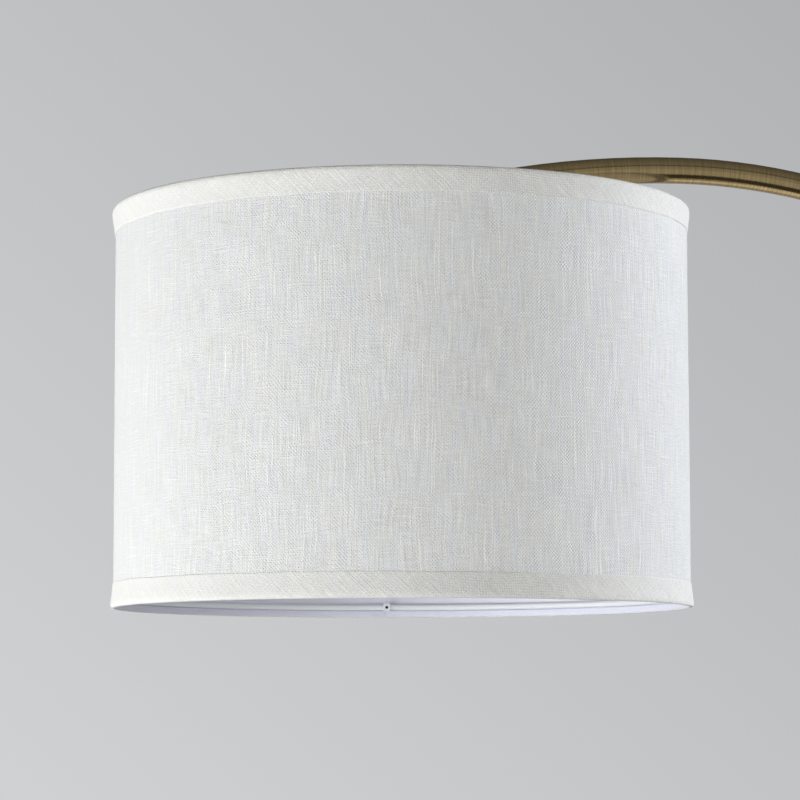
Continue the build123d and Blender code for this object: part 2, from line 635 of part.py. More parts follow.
bulb_middle = bulb_neck_z - BULB_LENGTH + BULB_RADIUS
round_from = radians(30)
with BuildPart() as bulb_glass:
    with BuildSketch(shade_section()):
        with BuildLine():
            round_start = (BULB_RADIUS * cos(round_from), bulb_middle + BULB_RADIUS * sin(round_from))
            round_middle = (round_start[0], bulb_middle - BULB_RADIUS * sin(round_from))
            flare = Spline(
                (bulb_neck, bulb_neck_z),
                round_start,
                tangents=[(0, -1), (sin(round_from), -cos(round_from))],
            )
            end = ThreePointArc(flare @ 1, round_middle, (0, bulb_middle - BULB_RADIUS))
            Polyline(end @ 1, (0, bulb_neck_z), flare @ 0)
        make_face()
    revolve(axis=shade_axis())
    offset(amount=-BULB_WALL, openings=bulb_glass.faces().sort_by(Axis.Z)[-1])
save(bulb_glass.part, "bulb_glass")

# Shade: the spider is the upper wire ring, three spokes and the fitter that the holder clamps, all welded

with BuildPart() as shade_spider:
    with BuildSketch(shade_plane(fitter_bottom)):
        Circle(fitter_radius)
        Circle(fitter_hole, mode=Mode.SUBTRACT)
    extrude(amount=FITTER_THICKNESS)
    with BuildSketch(shade_section()):
        with Locations((ring_radius, rim_z - ring_inset)):
            Circle(RING_WIRE)
    revolve(axis=shade_axis())
    for number in range(SPOKES):
        bearing = radians(180 + number * 360 / SPOKES)
        outward = Vector(cos(bearing), sin(bearing), 0)
        spoke_root = Vector(pivot.X, 0, fitter_top - FITTER_THICKNESS / 2)
        spoke_root += outward * (fitter_radius - SPOKE_WIRE)
        spoke_tip = Vector(pivot.X, 0, rim_z - ring_inset) + outward * ring_radius
        with BuildSketch(Plane(origin=spoke_root, z_dir=spoke_tip - spoke_root)):
            Circle(SPOKE_WIRE)
        extrude(amount=(spoke_tip - spoke_root).length)
save(shade_spider.part, "shade_spider")

with BuildPart() as bottom_ring:
    with BuildSketch(shade_section()):
        with Locations((ring_radius, shade_bottom + ring_inset)):
            Circle(RING_WIRE)
    revolve(axis=shade_axis())
save(bottom_ring.part, "bottom_ring")

# The clip closes the joint in the lower wire ring, and is open towards the lining.
clip_bearing = radians(CLIP_BEARING)
clip_outward = Vector(cos(clip_bearing), sin(clip_bearing), 0)
clip_along = Vector(-sin(clip_bearing), cos(clip_bearing), 0)
clip_plane = Plane(origin=(pivot.X, 0, shade_bottom + ring_inset), x_dir=clip_along, z_dir=clip_outward)
clip_face = ring_radius - RING_WIRE - CLIP_WALL
with BuildPart() as ring_clip:
    with BuildSketch(clip_plane.offset(clip_face)):
        RectangleRounded(CLIP_WIDTH, CLIP_HEIGHT, CLIP_WALL)
        Circle(CLIP_HOLE, mode=Mode.SUBTRACT)
    extrude(amount=turn_in_inner - FIT - clip_face)
    with BuildSketch(shade_section()):
        with Locations((ring_radius, shade_bottom + ring_inset)):
            Circle(RING_WIRE + FIT)
    revolve(axis=shade_axis(), mode=Mode.SUBTRACT)
save(ring_clip.part, "ring_clip")

edge_inset = TRIM_TURN_IN_THICKNESS + FIT
with BuildPart() as shade_lining:
    with BuildSketch(shade_plane(shade_bottom + edge_inset)):
        Circle(lining_outer)
        Circle(lining_inner, mode=Mode.SUBTRACT)
    extrude(amount=SHADE_HEIGHT - 2 * edge_inset)
save(shade_lining.part, "shade_lining")

with BuildPart() as shade_fabric:
    with BuildSketch(shade_plane(shade_bottom + edge_inset)):
        Circle(linen_outer)
        Circle(linen_inner, mode=Mode.SUBTRACT)
    extrude(amount=SHADE_HEIGHT - 2 * edge_inset)
save(shade_fabric.part, "shade_fabric")

# Each trim is a folded tape: its wide leg outside, its short leg turned in.
for name, rim, inward in (("top_trim", rim_z, -1), ("bottom_trim", shade_bottom, 1)):
    with BuildPart() as trim:
        with BuildSketch(shade_section()):
            with BuildLine():
                Polyline(
                    (trim_outer, rim + inward * TRIM_WIDTH),
                    (linen_outer + FIT, rim + inward * TRIM_WIDTH),
                    (linen_outer + FIT, rim + inward * TRIM_TURN_IN_THICKNESS),
                    (turn_in_outer, rim + inward * TRIM_TURN_IN_THICKNESS),
                    (turn_in_outer, rim + inward * TRIM_TURN_IN),
                    (turn_in_inner, rim + inward * TRIM_TURN_IN),
                    (turn_in_inner, rim + inward * TRIM_TURN_IN_THICKNESS),
                    (turn_in_inner + TRIM_TURN_IN_THICKNESS, rim),
                    (trim_outer - TRIM_THICKNESS, rim),
                    (trim_outer, rim + inward * TRIM_THICKNESS),
                )
                ThreePointArc(
                    (trim_outer, rim + inward * TRIM_THICKNESS),
                    (trim_outer + TRIM_BULGE, rim + inward * (TRIM_WIDTH + TRIM_THICKNESS) / 2),
                    (trim_outer, rim + inward * TRIM_WIDTH),
                )
            make_face()
        revolve(axis=shade_axis())
    save(trim.part, name)
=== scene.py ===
import math

import bpy
from mathutils import Matrix, Vector, noise


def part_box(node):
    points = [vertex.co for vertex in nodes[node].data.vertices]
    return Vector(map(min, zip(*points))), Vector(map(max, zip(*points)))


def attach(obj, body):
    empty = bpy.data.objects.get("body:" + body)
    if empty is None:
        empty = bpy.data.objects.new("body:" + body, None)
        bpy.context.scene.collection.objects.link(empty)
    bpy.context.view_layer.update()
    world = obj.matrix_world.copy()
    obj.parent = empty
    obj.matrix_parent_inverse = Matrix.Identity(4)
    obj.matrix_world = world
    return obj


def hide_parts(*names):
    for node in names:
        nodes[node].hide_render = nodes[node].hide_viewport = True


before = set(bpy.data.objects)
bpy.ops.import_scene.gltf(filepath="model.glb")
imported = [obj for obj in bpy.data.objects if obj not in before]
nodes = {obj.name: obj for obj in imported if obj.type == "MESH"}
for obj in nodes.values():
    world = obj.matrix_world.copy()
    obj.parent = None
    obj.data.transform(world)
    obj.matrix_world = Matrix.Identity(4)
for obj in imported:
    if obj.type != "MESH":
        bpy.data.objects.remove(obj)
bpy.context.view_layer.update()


# Studio: a pale matt floor in an even grey surround that gets darker overhead, lit by four soft boxes.
# The widest, at the left, makes a white drum brightest at its left edge. The one behind at the right
# rakes over the weave.
scene = bpy.context.scene
scene.view_settings.view_transform = "Standard"
shade_low, shade_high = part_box("shade_fabric")
shade_middle = (shade_low + shade_high) / 2
upward = Vector((0, 0, 1))

view_bearing = math.radians(-10)  # the camera looks along +Y, turned this far
view_tilt = math.radians(5.80)
view_roll = math.radians(-0.115)
view_ahead = Vector((-math.sin(view_bearing), math.cos(view_bearing), 0))
view_right = Vector((math.cos(view_bearing), math.sin(view_bearing), 0))
view_distance = 2.1875  # metres from the middle of the shade, and below and to the left of it
view_drop = 0.2149
view_aside = 0.00116
view_from = shade_middle - view_distance * view_ahead - view_drop * upward - view_aside * view_right

camera_data = bpy.data.cameras.new("camera")
camera_data.sensor_width = 36
camera_data.lens = 140.46
camera = bpy.data.objects.new("camera", camera_data)
camera.matrix_world = (
    Matrix.Translation(view_from)
    @ Matrix.Rotation(view_bearing, 4, "Z")
    @ Matrix.Rotation(math.pi / 2 + view_tilt, 4, "X")
    @ Matrix.Rotation(view_roll, 4, "Z")
)
scene.collection.objects.link(camera)
scene.camera = camera


def linear(colour):
    """A colour written as sRGB hex, as the linear values that Blender's sockets take."""
    steps = [int(colour[i : i + 2], 16) / 255 for i in (1, 3, 5)]
    return (*[s / 12.92 if s <= 0.04045 else ((s + 0.055) / 1.055) ** 2.4 for s in steps], 1)


def add(tree, kind, settings={}, inputs={}):
    """A new shader node: its settings, then its inputs, each a value, or the socket or node that feeds it.

    A node feeds through its first output.
    """
    made = tree.nodes.new("ShaderNode" + kind)
    for name, value in settings.items():
        setattr(made, name, value)
    for name, value in inputs.items():
        if isinstance(value, bpy.types.Node):
            value = value.outputs[0]
        if isinstance(value, bpy.types.NodeSocket):
            tree.links.new(value, made.inputs[name])
        else:
            made.inputs[name].default_value = value
    return made


def new_material(name):
    """An empty material, and the tree that its nodes go in."""
    made = bpy.data.materials.new(name)
    made.use_nodes = True
    made.node_tree.nodes.clear()
    return made, made.node_tree


# Each box turns round the shade, in degrees to the right of the camera, and faces it. Sizes are in metres.
box_distance = 2.2
box_spread = math.radians(120)
for name, turn, height, wide, tall, power, tint in (
    ("soft_box_left", -74, 1.0, 3.0, 1.0, 23.9, "#FDFEFF"),
    ("soft_box_low", -46, 0.7, 1.0, 1.0, 6.6, "#FFFEFB"),
    ("soft_box_front", 42, 1.5, 0.9, 0.9, 8.3, "#FDFCFB"),
    ("soft_box_behind", 108, 2.0, 0.8, 0.9, 19.2, "#F2F7FF"),
):
    box_light = bpy.data.lights.new(name, "AREA")
    box_light.shape = "RECTANGLE"
    box_light.size = wide
    box_light.size_y = tall
    box_light.energy = power
    box_light.spread = box_spread
    box_light.color = linear(tint)[:3]
    box = bpy.data.objects.new(name, box_light)
    away = view_right * math.sin(math.radians(turn)) - view_ahead * math.cos(math.radians(turn))
    box.location = shade_middle + box_distance * away
    box.location.z = height
    box.rotation_euler = (shade_middle - box.location).to_track_quat("-Z", "Y").to_euler()
    box.visible_camera = False
    box.visible_glossy = False  # they would draw white patches on the tube
    scene.collection.objects.link(box)

surround = bpy.data.worlds.new("studio_surround")
surround.use_nodes = True
scene.world = surround
tree = surround.node_tree
tree.nodes.clear()
way = add(tree, "TexCoord").outputs["Generated"]
darker_way = 0.36 * view_right + 0.43 * upward
fall = add(tree, "VectorMath", {"operation": "DOT_PRODUCT"}, {0: way, 1: darker_way})
grey = add(tree, "MapRange", {}, {
    "Value": fall.outputs["Value"], "From Min": -0.4, "From Max": 0.22, "To Min": 1.0, "To Max": 0.38,
})
# The wall ends in a dark edge. The ceiling over it is darker than the wall, most of all behind the lamp.
heights = add(tree, "SeparateXYZ", {}, {0: way})
wall_edge = add(tree, "MapRange", {"interpolation_type": "SMOOTHSTEP"}, {
    "Value": heights.outputs["Z"], "From Min": 0.45, "From Max": 0.5, "To Min": 1.0, "To Max": 0.25,
})
behind = add(tree, "VectorMath", {"operation": "DOT_PRODUCT"}, {0: way, 1: view_ahead})
ceiling_tone = add(tree, "Math", {"operation": "MULTIPLY_ADD"}, {
    0: behind.outputs["Value"], 1: -0.33, 2: 0.26,
})
ceiling_edge = add(tree, "MapRange", {"interpolation_type": "SMOOTHSTEP"}, {
    "Value": heights.outputs["Z"], "From Min": 0.56, "From Max": 0.63, "To Min": 0.0, "To Max": ceiling_tone,
})
ceiling = add(tree, "Math", {"operation": "ADD"}, {0: wall_edge, 1: ceiling_edge})
# It looks so to the eye, in polished metal and through glass. As a light it is even, and much weaker.
unseen_light = 0.4
ray = add(tree, "LightPath")
direct = add(tree, "Math", {"operation": "MAXIMUM"}, {
    0: ray.outputs["Is Camera Ray"], 1: ray.outputs["Is Glossy Ray"],
})
shown = add(tree, "Math", {"operation": "MAXIMUM"}, {0: direct, 1: ray.outputs["Is Transmission Ray"]})
lit = add(tree, "MapRange", {}, {"Value": shown, "To Min": unseen_light, "To Max": 1.0})
overhead = add(tree, "Mix", {}, {0: shown, 2: 1.0, 3: ceiling})
wall = add(tree, "Math", {"operation": "MULTIPLY"}, {0: grey, 1: overhead})
strength = add(tree, "Math", {"operation": "MULTIPLY"}, {0: wall, 1: lit})
light = add(tree, "Background", {}, {"Color": linear("#FBFCFE"), "Strength": strength})
add(tree, "OutputWorld", {}, {"Surface": light})

floor_reach = 30.0
floor_corners = ((-1, -1), (1, -1), (1, 1), (-1, 1))
floor_mesh = bpy.data.meshes.new("floor")
floor_mesh.from_pydata(
    [(shade_middle.x + floor_reach * x, floor_reach * y, 0) for x, y in floor_corners], [], [(0, 1, 2, 3)]
)
floor = bpy.data.objects.new("floor", floor_mesh)
scene.collection.objects.link(floor)
# Matt paint near the lamp, lifted to a pale grey and still showing the shadow. Further off the eye sees
# the surround in its place, so there is no horizon. Polished metal sees a floor of pale and dark bands,
# which draw the lines along the tube's underside.
matt_paint, tree = new_material("matt_floor_paint")
place = add(tree, "TexCoord").outputs["Object"]
mottle = add(tree, "TexNoise", {}, {"Vector": place, "Scale": 2.0, "Detail": 3.0})
paint = add(tree, "Mix", {"data_type": "RGBA"}, {0: mottle, 6: linear("#E0E1E2"), 7: linear("#E4E5E6")})
matt = add(tree, "BsdfDiffuse", {}, {"Color": paint.outputs[2]})
ray = add(tree, "LightPath")
floor_lift = 0.36
lift = add(tree, "Math", {"operation": "MULTIPLY"}, {0: ray.outputs["Is Camera Ray"], 1: floor_lift})
paler = add(tree, "Emission", {}, {"Color": linear("#F8F9FB"), "Strength": lift})
pale = add(tree, "AddShader", {}, {0: matt, 1: paler})
lamp_middle = (shade_middle.x / 2, 0, 0)
paint_fades, paint_ends = 0.7, 2.6  # metres from the lamp's middle
from_lamp = add(tree, "VectorMath", {"operation": "DISTANCE"}, {0: place, 1: lamp_middle})
far = add(tree, "MapRange", {"interpolation_type": "SMOOTHSTEP"}, {
    "Value": from_lamp.outputs["Value"], "From Min": paint_fades, "From Max": paint_ends,
})
gone = add(tree, "Math", {"operation": "MULTIPLY"}, {0: far, 1: ray.outputs["Is Camera Ray"]})
clear = add(tree, "BsdfTransparent")
seen = add(tree, "MixShader", {}, {0: gone, 1: pale, 2: clear})
floor_bands = ((-2.05, 0.06), (-0.35, 0.45), (-0.15, 0.95), (1.0, 0.45))  # from this Y on, this bright
band_tone = 0.5  # in front of the first
depth = add(tree, "SeparateXYZ", {}, {0: place})
for start, bright in floor_bands:
    past = add(tree, "Math", {"operation": "GREATER_THAN"}, {0: depth.outputs["Y"], 1: start})
    band_tone = add(tree, "Mix", {}, {0: past, 2: band_tone, 3: bright})
bands = add(tree, "Emission", {}, {"Strength": band_tone})
surface = add(tree, "MixShader", {}, {0: ray.outputs["Is Glossy Ray"], 1: seen, 2: bands})
add(tree, "OutputMaterial", {}, {"Surface": surface})
floor_mesh.materials.append(matt_paint)


# Base pad: a disc of black wool felt glued under the base, so that the iron doesn't mark the floor.
# It is die-cut, so its edge is square and a little furry.
def loft(name, loops, marks=None):
    """A closed skin over a row of equal loops of points.

    Marks are the cloth coordinates of each loop's points, and of its first point again.
    """
    count = len(loops[0])
    faces, places = [], []
    for i in range(len(loops) - 1):
        for j in range(count):
            after = (j + 1) % count
            faces.append([i * count + j, (i + 1) * count + j, (i + 1) * count + after, i * count + after])
            if marks:
                places += [marks[i][j], marks[i + 1][j], marks[i + 1][j + 1], marks[i][j + 1]]
    for i, step in ((0, 1), (len(loops) - 1, -1)):  # the two ends
        order = list(range(count))[::step]
        faces.append([i * count + j for j in order])
        if marks:
            places += [marks[i][j] for j in order]
    mesh = bpy.data.meshes.new(name)
    mesh.from_pydata([point for loop in loops for point in loop], [], faces)
    if marks:
        cloth = mesh.uv_layers.new(name="cloth")
        cloth.data.foreach_set("uv", [c for place in places for c in place])
    mesh.shade_smooth()
    made = bpy.data.objects.new(name, mesh)
    scene.collection.objects.link(made)
    return made


pad_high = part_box("base_pad")[1]
pad_radius, pad_top = pad_high.x, pad_high.z
pad_profile = [  # radius, and depth in the felt, from near the middle to the edge
    (0.004, 0.0), (0.05, 0.0), (0.1, 0.0),
    (pad_radius - 0.0012, 0.0), (pad_radius - 0.0004, 0.0003), (pad_radius, 0.0011),
]
pad_outline = [(radius, pad_top - depth) for radius, depth in pad_profile] + pad_profile[::-1]
fur_length = 0.0003
furry_from = pad_radius - 0.002
tufts_across, tufts_up = 60, 900  # tufts to a radius, and to a metre of height
pad_steps = 360
pad_loops = []
for radius, height in pad_outline:
    loop = []
    for step in range(pad_steps):
        way_x = math.cos(2 * math.pi * step / pad_steps)
        way_y = math.sin(2 * math.pi * step / pad_steps)
        reach = radius
        if radius > furry_from:
            tuft = noise.noise((tufts_across * way_x, tufts_across * way_y, tufts_up * height))
            reach += fur_length * (tuft - 1)
        loop.append((reach * way_x, reach * way_y, height))
    pad_loops.append(loop)
base_felt = loft("base_felt", pad_loops)

# Black wool felt: no gloss, short fibres of about 1.2 mm lying all ways, with a few lighter ones.
felt, tree = new_material("black_wool_felt")
place = add(tree, "TexCoord").outputs["Object"]
fibres = add(tree, "TexNoise", {}, {"Vector": place, "Scale": 1 / 0.0012, "Detail": 4.0, "Distortion": 2.0})
clouds = add(tree, "TexNoise", {}, {"Vector": place, "Scale": 1 / 0.015, "Detail": 2.0})
mixed = add(tree, "Math", {"operation": "MULTIPLY"}, {0: fibres, 1: clouds})
lightness = add(tree, "MapRange", {}, {"Value": mixed, "From Min": 0.12, "From Max": 0.42})
wool = add(tree, "Mix", {"data_type": "RGBA"}, {0: lightness, 6: linear("#1B1B1C"), 7: linear("#38383A")})
nap = add(tree, "Bump", {}, {"Height": fibres, "Strength": 0.6, "Distance": 0.0004})
soft = add(tree, "BsdfPrincipled", {}, {
    "Base Color": wool.outputs[2], "Roughness": 0.95, "Specular IOR Level": 0.2, "Sheen Weight": 0.3,
    "Sheen Roughness": 0.5, "Normal": nap,
})
add(tree, "OutputMaterial", {}, {"Surface": soft})
base_felt.data.materials.append(felt)
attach(base_felt, "stand")
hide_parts("base_pad")


# Base weight: a disc of sand-cast grey iron inside the cover, painted black against rust.
# The cover's rim and the felt hide it, apart from a ring underneath.
def grained(name, size, grain, tints, finish={}, dull=None, bump=None):
    """A material with one grain, its size in metres, that runs from one tint to another.

    Grain and finish are settings of the noise and the shader. The grain can also run between two
    roughnesses, and stand out by a strength and a depth in metres.
    """
    made, tree = new_material(name)
    place = add(tree, "TexCoord").outputs["Object"]
    speckle = add(tree, "TexNoise", {}, {"Vector": place, "Scale": 1 / size, **grain})
    tint = add(tree, "Mix", {"data_type": "RGBA"}, {0: speckle, 6: linear(tints[0]), 7: linear(tints[1])})
    look = {"Base Color": tint.outputs[2], **finish}
    if dull:
        smooth, rough = dull
        look["Roughness"] = add(tree, "MapRange", {}, {"Value": speckle, "To Min": smooth, "To Max": rough})
    if bump:
        strength, depth = bump
        look["Normal"] = add(tree, "Bump", {}, {"Height": speckle, "Strength": strength, "Distance": depth})
    shader = add(tree, "BsdfPrincipled", {}, look)
    add(tree, "OutputMaterial", {}, {"Surface": shader})
    return made


def paint_with(material, *names):
    """Give pieces of the frame this material, and no other."""
    for name in names:
        surface = nodes[name].data.materials
        surface.clear()
        surface.append(material)


# Painted cast iron: dull black over the grain that the sand leaves, about 1.5 mm.
iron = grained("painted_cast_iron", 0.0015, {"Detail": 5.0, "Roughness": 0.6}, ("#1E1E1F", "#39383A"),
               dull=(0.55, 0.8), bump=(0.7, 0.0004))
paint_with(iron, "base_weight")


# Base fixings and tube joints: the hollow rod through the weight with its washer and nut, and the plugs and
# nipples inside the tubes, all turned from steel and zinc-plated. The nut, in a pocket under the weight, pulls
# the collar down on the cover.
# Zinc plate: pale grey metal with a faint spangle of 2 mm and slight clouding.
zinc, tree = new_material("zinc_plated_steel")
place = add(tree, "TexCoord").outputs["Object"]
spangle = add(tree, "TexVoronoi", {}, {"Vector": place, "Scale": 1 / 0.002})
clouds = add(tree, "TexNoise", {}, {"Vector": place, "Scale": 1 / 0.006, "Detail": 3.0})
plate = add(tree, "Mix", {"data_type": "RGBA"}, {0: clouds, 6: linear("#A9ACAF"), 7: linear("#C6C9CB")})
sparkle = add(tree, "MapRange", {}, {"Value": spangle.outputs["Color"], "To Min": 0.28, "To Max": 0.42})
plated = add(tree, "BsdfPrincipled", {}, {
    "Base Color": plate.outputs[2], "Metallic": 1.0, "Roughness": sparkle,
})
add(tree, "OutputMaterial", {}, {"Surface": plated})
paint_with(zinc, "base_washer", "base_nut", "base_nipple", "joint_nipples", "tube_inserts")


# Base cover and pole collar: pressed and turned steel, plated with brass that is darkened in a bath and then
# brushed while it spins, so the lines run round it. The collar screws down on the cover and carries the pole.
def antique_brass(name, axis_x=0.0, bends=()):
    """Darkened brass: satin, with paler brush lines round an upright axis, or round a tube with these bends.

    A bend is the X and Z of its centre, and its radius. Each after the first starts over its centre.
    """
    made, tree = new_material(name)
    place = add(tree, "TexCoord").outputs["Object"]
    parts = add(tree, "SeparateXYZ", {}, {0: place})
    if bends:
        length = None
        for centre_x, centre_z, bend_radius in bends:
            beside = add(tree, "Math", {"operation": "SUBTRACT"}, {0: parts.outputs["X"], 1: centre_x})
            above = add(tree, "Math", {"operation": "SUBTRACT"}, {0: parts.outputs["Z"], 1: centre_z})
            turn = add(tree, "Math", {"operation": "ARCTAN2"}, {0: beside, 1: above})
            run = add(tree, "Math", {"operation": "MULTIPLY"}, {0: turn, 1: bend_radius})
            if length is None:
                length = run
            else:
                past = add(tree, "Math", {"operation": "LESS_THAN"}, {0: parts.outputs["X"], 1: centre_x})
                length = add(tree, "Mix", {}, {0: past, 2: length, 3: run})
        across = add(tree, "CombineXYZ", {}, {"X": length})
    else:
        off_axis = add(tree, "VectorMath", {"operation": "SUBTRACT"}, {0: place, 1: (axis_x, 0, 0)})
        level = add(tree, "VectorMath", {"operation": "MULTIPLY"}, {0: off_axis, 1: (1, 1, 0)})
        radius = add(tree, "VectorMath", {"operation": "LENGTH"}, {0: level})
        across = add(tree, "CombineXYZ", {}, {"X": radius.outputs["Value"], "Z": parts.outputs["Z"]})
    # The brush leaves lines of about 0.1 mm. They are drawn 1.1 mm wide, so that they show, and 50 times as
    # long as that.
    shorter = (1 / 50, 1 / 50, 1 / 50)
    stretched = add(tree, "VectorMath", {"operation": "MULTIPLY_ADD"}, {0: place, 1: shorter, 2: across})
    lines = add(tree, "TexNoise", {}, {
        "Vector": stretched, "Scale": 1 / 0.0011, "Detail": 3.0, "Roughness": 0.7,
    })
    strokes = add(tree, "MapRange", {}, {"Value": lines, "From Min": 0.3, "From Max": 0.7})
    # The bath leaves clouds of about 40 mm.
    patina = add(tree, "TexNoise", {}, {"Vector": place, "Scale": 1 / 0.04, "Detail": 4.0, "Roughness": 0.6})
    share = add(tree, "Math", {"operation": "MULTIPLY_ADD"}, {0: patina, 1: 0.5, 2: -0.25})
    mixed = add(tree, "Math", {"operation": "ADD", "use_clamp": True}, {0: strokes, 1: share})
    tint = add(tree, "Mix", {"data_type": "RGBA"}, {0: mixed, 6: linear("#9A865E"), 7: linear("#C6AF80")})
    gloss = add(tree, "MapRange", {}, {"Value": mixed, "To Min": 0.22, "To Max": 0.13})
    scratches = add(tree, "Bump", {}, {"Height": lines, "Strength": 0.12, "Distance": 0.0001})
    metal = add(tree, "BsdfPrincipled", {}, {
        "Base Color": tint.outputs[2], "Metallic": 1.0, "Roughness": gloss, "Normal": scratches,
    })
    add(tree, "OutputMaterial", {}, {"Surface": metal})
    return made


upright_brass = antique_brass("antique_brass_upright")
paint_with(upright_brass, "base_cover", "pole_collar")


# Cord inlet: a black nylon bushing in the rim of the base at the back.
# It is moulded in one piece and pressed in as far as its flange.
# Moulded nylon: satin, with the fine spark texture of the mould, about 0.3 mm.
nylon = grained("moulded_black_nylon", 0.0003, {"Detail": 2.0}, ("#141414", "#242424"), {"IOR": 1.53},
                dull=(0.38, 0.55), bump=(0.3, 0.0001))
paint_with(nylon, "cord_bushing")


# Pole: three lengths of drawn steel tube, screwed end to end, in the same brushed brass.
# Each joint shows as a fine dark line.
paint_with(upright_brass, "pole_lower", "pole_middle", "pole_upper")


# Arc: two bent tubes of the same steel. The lower one turns 45 degrees, the upper one goes on over the top
# with a wider bend to the shade. They are brushed after bending, so the lines run round the tube all the way.
tube_radius = 0.0095
pole_bend_radius = 0.460
shade_bend_radius = 0.680
straight_end = 0.016  # unbent length at each end of a bent tube
joint_step = 2 * straight_end * math.sin(math.radians(45))
arc_top_x = -pole_bend_radius - joint_step
arc_top_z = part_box("arc_upper")[1].z - tube_radius
lower_bend = (-pole_bend_radius, arc_top_z - pole_bend_radius - joint_step, pole_bend_radius)
pole_side_bend = (arc_top_x, arc_top_z - pole_bend_radius, pole_bend_radius)
shade_side_bend = (arc_top_x, arc_top_z - shade_bend_radius, shade_bend_radius)
paint_with(antique_brass("antique_brass_lower_bend", bends=[lower_bend]), "arc_lower")
paint_with(antique_brass("antique_brass_upper_bend", bends=[pole_side_bend, shade_side_bend]), "arc_upper")


# Swivel: a tongue on the arm's end in a fork over the lamp holder, clamped by a bolt and a thumb nut.
# Cast brass, finished as the tube; a fibre washer on each side of the tongue gives the friction.
shade_x = shade_middle.x
head_brass = antique_brass("antique_brass_head", axis_x=shade_x)
paint_with(head_brass, "swivel_tongue", "swivel_fork", "swivel_bolt", "swivel_nut")
# Vulcanised fibre: dull red-brown, with pressed paper fibres of about 0.8 mm.
fibre = grained("vulcanised_fibre", 0.0008, {"Detail": 4.0, "Distortion": 1.5}, ("#4A2A1E", "#74483A"),
                {"Roughness": 0.7})
paint_with(fibre, "friction_washers")


# Lamp holder: a brass cap and nipple over a black phenolic body with a brass screw shell and contact inside.
# The notched phenolic ring screws up the outside and clamps the shade's fitter.
paint_with(head_brass, "head_nipple", "socket_cap", "cap_nut")
# Moulded phenolic: black with a brown cast, glossier than nylon, with faint flow marks of about 6 mm.
phenolic = grained("moulded_phenolic", 0.006, {"Detail": 4.0, "Distortion": 1.0}, ("#100F0E", "#25211E"),
                   {"IOR": 1.6}, dull=(0.25, 0.4))
paint_with(phenolic, "socket_body", "shade_ring", "switch_knob")
# Drawn brass: bright yellow metal with a fine grain of about 0.3 mm.
drawn_brass = grained("drawn_brass", 0.0003, {"Detail": 2.0}, ("#C79F52", "#E5C47A"), {"Metallic": 1.0},
                      dull=(0.2, 0.35))
paint_with(drawn_brass, "screw_shell", "centre_contact", "switch_stem")


# Bulb: blown opal glass, white on the inside, on an aluminium screw cap.
# The cap screws up into the holder's shell.
# Opal glass: clear gloss over an even white, with a slight cloudiness of about 20 mm.
opal = grained("opal_glass", 0.02, {"Detail": 2.0}, ("#EBE8E0", "#F3F1EB"), {"Roughness": 0.12, "IOR": 1.5})
paint_with(opal, "bulb_glass")
# Drawn aluminium: pale, slightly dull metal with a fine grain of about 0.4 mm.
aluminium = grained("drawn_aluminium", 0.0004, {"Detail": 3.0}, ("#C2C3C5", "#DDDEDF"), {"Metallic": 1.0},
                    dull=(0.3, 0.45))
paint_with(aluminium, "bulb_cap")


# Shade frame: the upper ring with its three spokes and fitter, the lower ring and its clip.
# Steel wire, bent and welded. The clip sits on the lower ring at the back.
# White powder coat: satin, with a faint orange peel of about 1.2 mm.
coat = grained("white_powder_coat", 0.0012, {"Detail": 1.0}, ("#E1E4E8", "#EBEDF0"),
               dull=(0.3, 0.42), bump=(0.15, 0.0001))
paint_with(coat, "shade_spider", "bottom_ring", "ring_clip")

# A small domed rivet sits a little sunk in the clip's hole. It is near black, painted shade that makes the
# hole dark.
clip_low, clip_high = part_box("ring_clip")
clip_middle = (clip_low + clip_high) / 2
clip_inward = Vector((shade_x - clip_middle.x, -clip_middle.y, 0)).normalized()
clip_side = Vector((clip_inward.y, -clip_inward.x, 0))
clip_face = min(math.hypot(v.co.x - shade_x, v.co.y) for v in nodes["ring_clip"].data.vertices)
rivet_profile = (  # radius, and depth behind the clip's face
    (0.0011, 0.0009), (0.0011, 0.0004), (0.0009, 0.0002), (0.0005, 0.00006), (0.0001, 0.00004),
)
rivet_steps = 24
rivet_loops = []
for radius, sunk in rivet_profile:
    centre = Vector((shade_x, 0, clip_middle.z)) - clip_inward * (clip_face + sunk)
    rivet_loops.append([
        centre + radius * (math.cos(turn) * clip_side + math.sin(turn) * upward)
        for turn in (2 * math.pi * step / rivet_steps for step in range(rivet_steps))
    ])
clip_rivet = loft("clip_rivet", rivet_loops)
# Near-black steel for the rivet, painted shade in the hole: half dull, mottled at about 0.5 mm.
rivet_shade_steel = grained("rivet_painted_shade", 0.0005, {"Detail": 2.0}, ("#17191A", "#2B2E30"),
                      {"Metallic": 1.0, "Roughness": 0.5})
clip_rivet.data.materials.append(rivet_shade_steel)
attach(clip_rivet, "head")


# Shade lining: a stiff white styrene film rolled into a drum and glued along one upright seam at the back.
# The linen is laminated to its outside.
seam_bearing = math.radians(83.4)
seam_way = Vector((math.cos(seam_bearing), math.sin(seam_bearing), 0))
seam_side = Vector((-math.sin(seam_bearing), math.cos(seam_bearing), 0))
